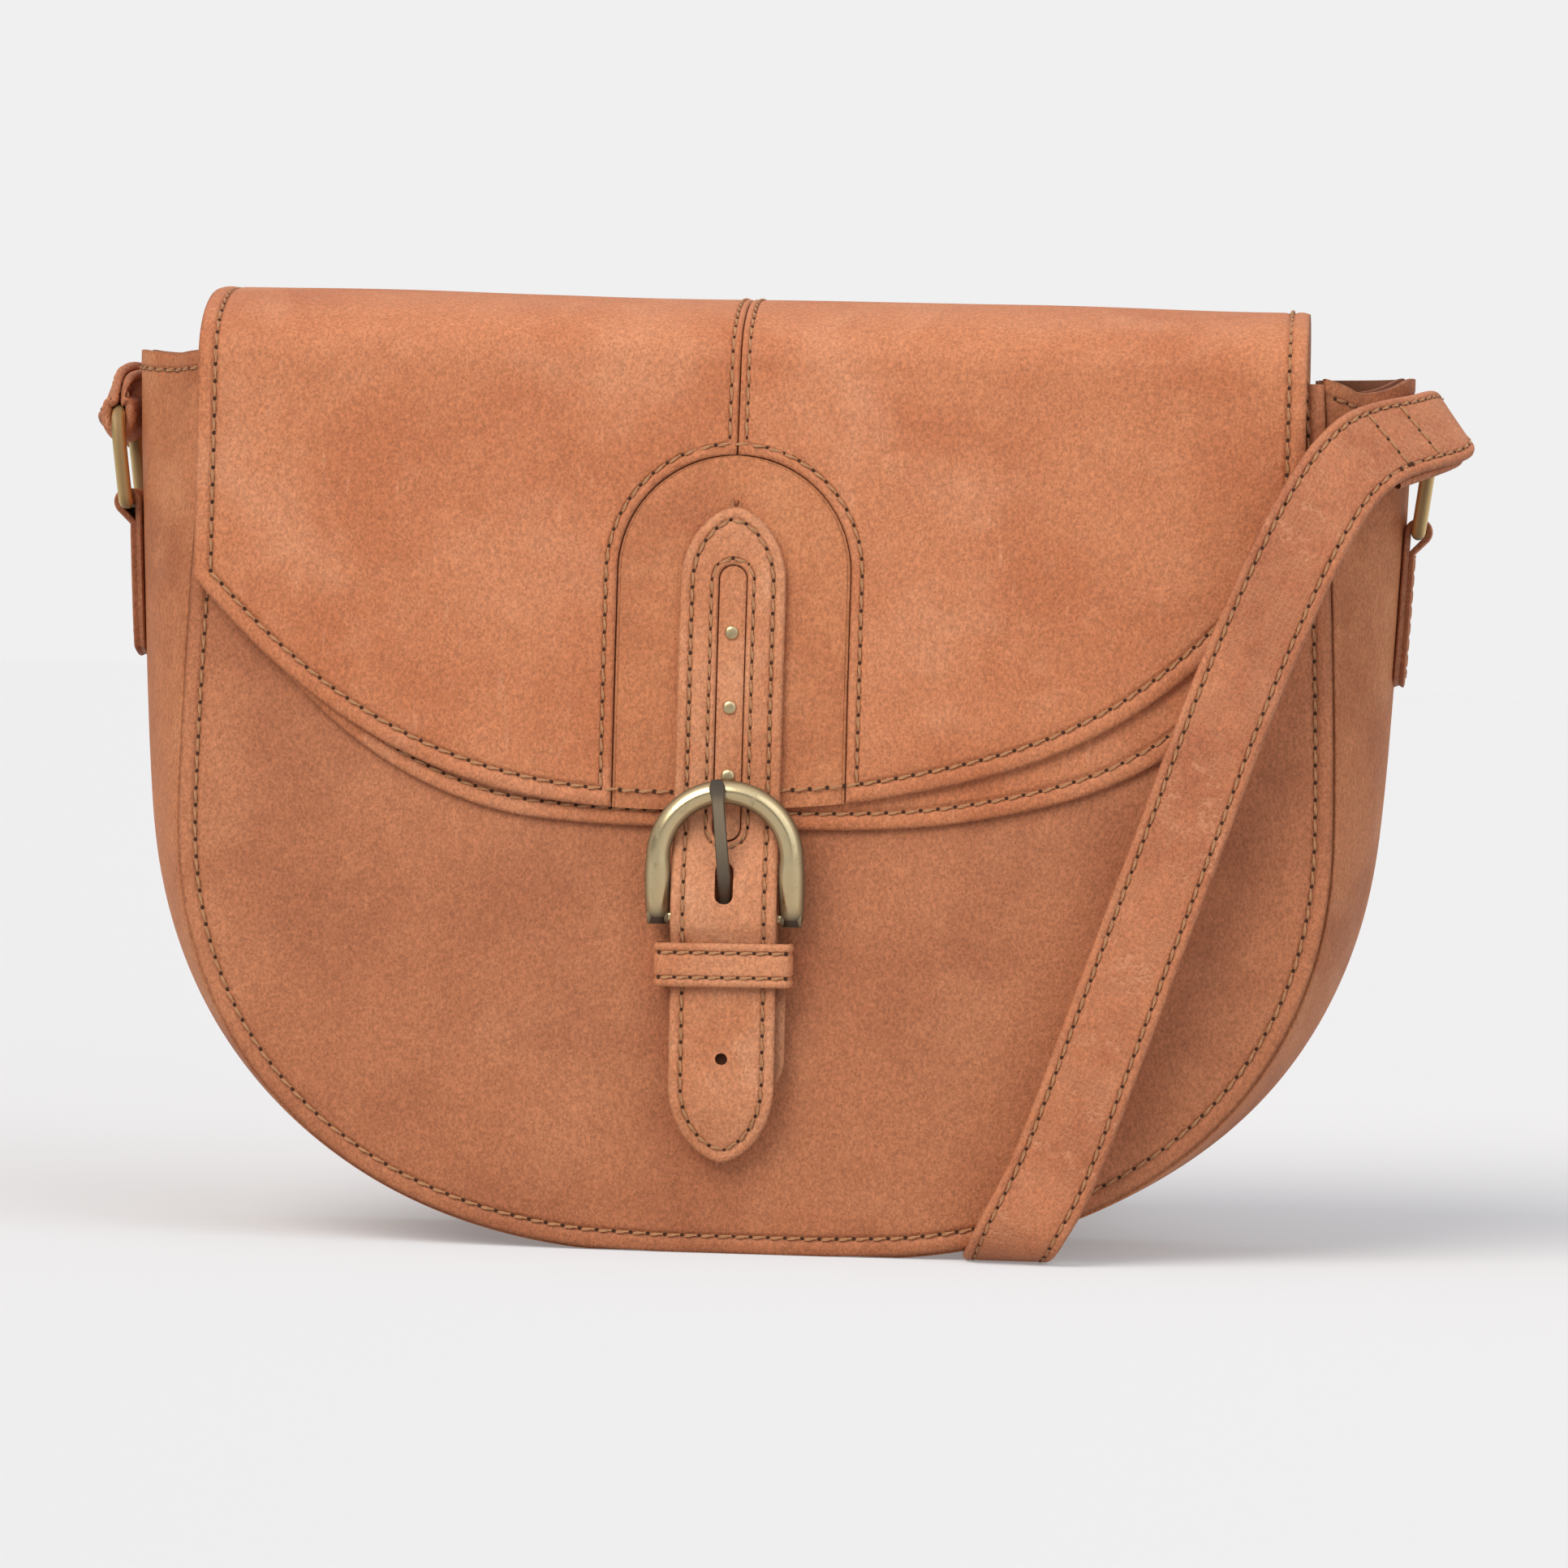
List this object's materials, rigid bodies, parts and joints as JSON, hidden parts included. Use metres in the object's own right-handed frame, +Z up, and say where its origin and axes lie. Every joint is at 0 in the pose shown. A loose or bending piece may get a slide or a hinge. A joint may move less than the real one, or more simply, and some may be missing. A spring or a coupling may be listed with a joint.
{
  "type": "saddle crossbody bag",
  "caption": "Leather crossbody bag with a curved body, a stitched fold-over flap closed by a buckled strap, side D-rings and a long shoulder strap.",
  "frame": {"origin": "centre of the flat underside that the bag stands on", "axes": "+X to the bag's right as its front is seen, +Y to its back, +Z up to its mouth"},
  "size_m": [0.3468, 0.2214, 0.2338],
  "materials": {
    "body_leather": "napped, satin matte",
    "flap_leather": "napped, satin matte",
    "strap_leather": "smooth, satin matte",
    "lining_cloth": "plain weave, matte",
    "aged_brass": "pale, antique patina"
  },
  "bodies": {
    "bag": {"front_panel": "body_leather", "back_panel": "body_leather", "gusset": "body_leather", "front_lining": "lining_cloth", "back_lining": "lining_cloth", "gusset_lining": "lining_cloth", "flap_tail": "flap_leather", "ring_tab_left": "strap_leather", "ring_tab_right": "strap_leather", "snap_socket": "aged_brass", "shoulder_strap": "strap_leather"},
    "flap": {"flap_left": "flap_leather", "flap_right": "flap_leather", "inner_leaf": "flap_leather", "arch_inlay": "flap_leather", "closure_strap": "strap_leather", "slot_inlay": "strap_leather", "rivet_top": "aged_brass", "rivet_middle": "aged_brass", "rivet_bottom": "aged_brass", "buckle_chape": "strap_leather", "keeper_loop": "strap_leather", "snap_stud": "aged_brass"},
    "buckle": {"buckle_frame": "aged_brass"},
    "prong": {"buckle_prong": "aged_brass"},
    "ring_left": {"ring_left": "aged_brass"},
    "ring_right": {"ring_right": "aged_brass"}
  },
  "joints": [
    {"name": "flap_hinge", "type": "hinge", "parent": "bag", "child": "flap", "pos_m": [0, 0.04545, 0.214], "axis": [-1, 0, 0], "range_deg": [0, 150], "deforming": ["shoulder_strap"]},
    {"name": "buckle_swing", "type": "hinge", "parent": "flap", "child": "buckle", "pos_m": [-0.0052, -0.05423, 0.0825], "axis": [1, 0, 0], "range_deg": [0, 8]},
    {"name": "prong_swing", "type": "hinge", "parent": "buckle", "child": "prong", "pos_m": [-0.0052, -0.05423, 0.0825], "axis": [1, 0, 0], "range_deg": [0, 6]},
    {"name": "ring_left_swing", "type": "hinge", "parent": "bag", "child": "ring_left", "pos_m": [-0.15993, 0, 0.18], "axis": [0, -1, 0], "range_deg": [0, 85], "deforming": ["shoulder_strap"]},
    {"name": "ring_right_swing", "type": "hinge", "parent": "bag", "child": "ring_right", "pos_m": [0.15993, 0, 0.18], "axis": [0, 1, 0], "range_deg": [0, 85], "deforming": ["shoulder_strap"]}
  ]
}
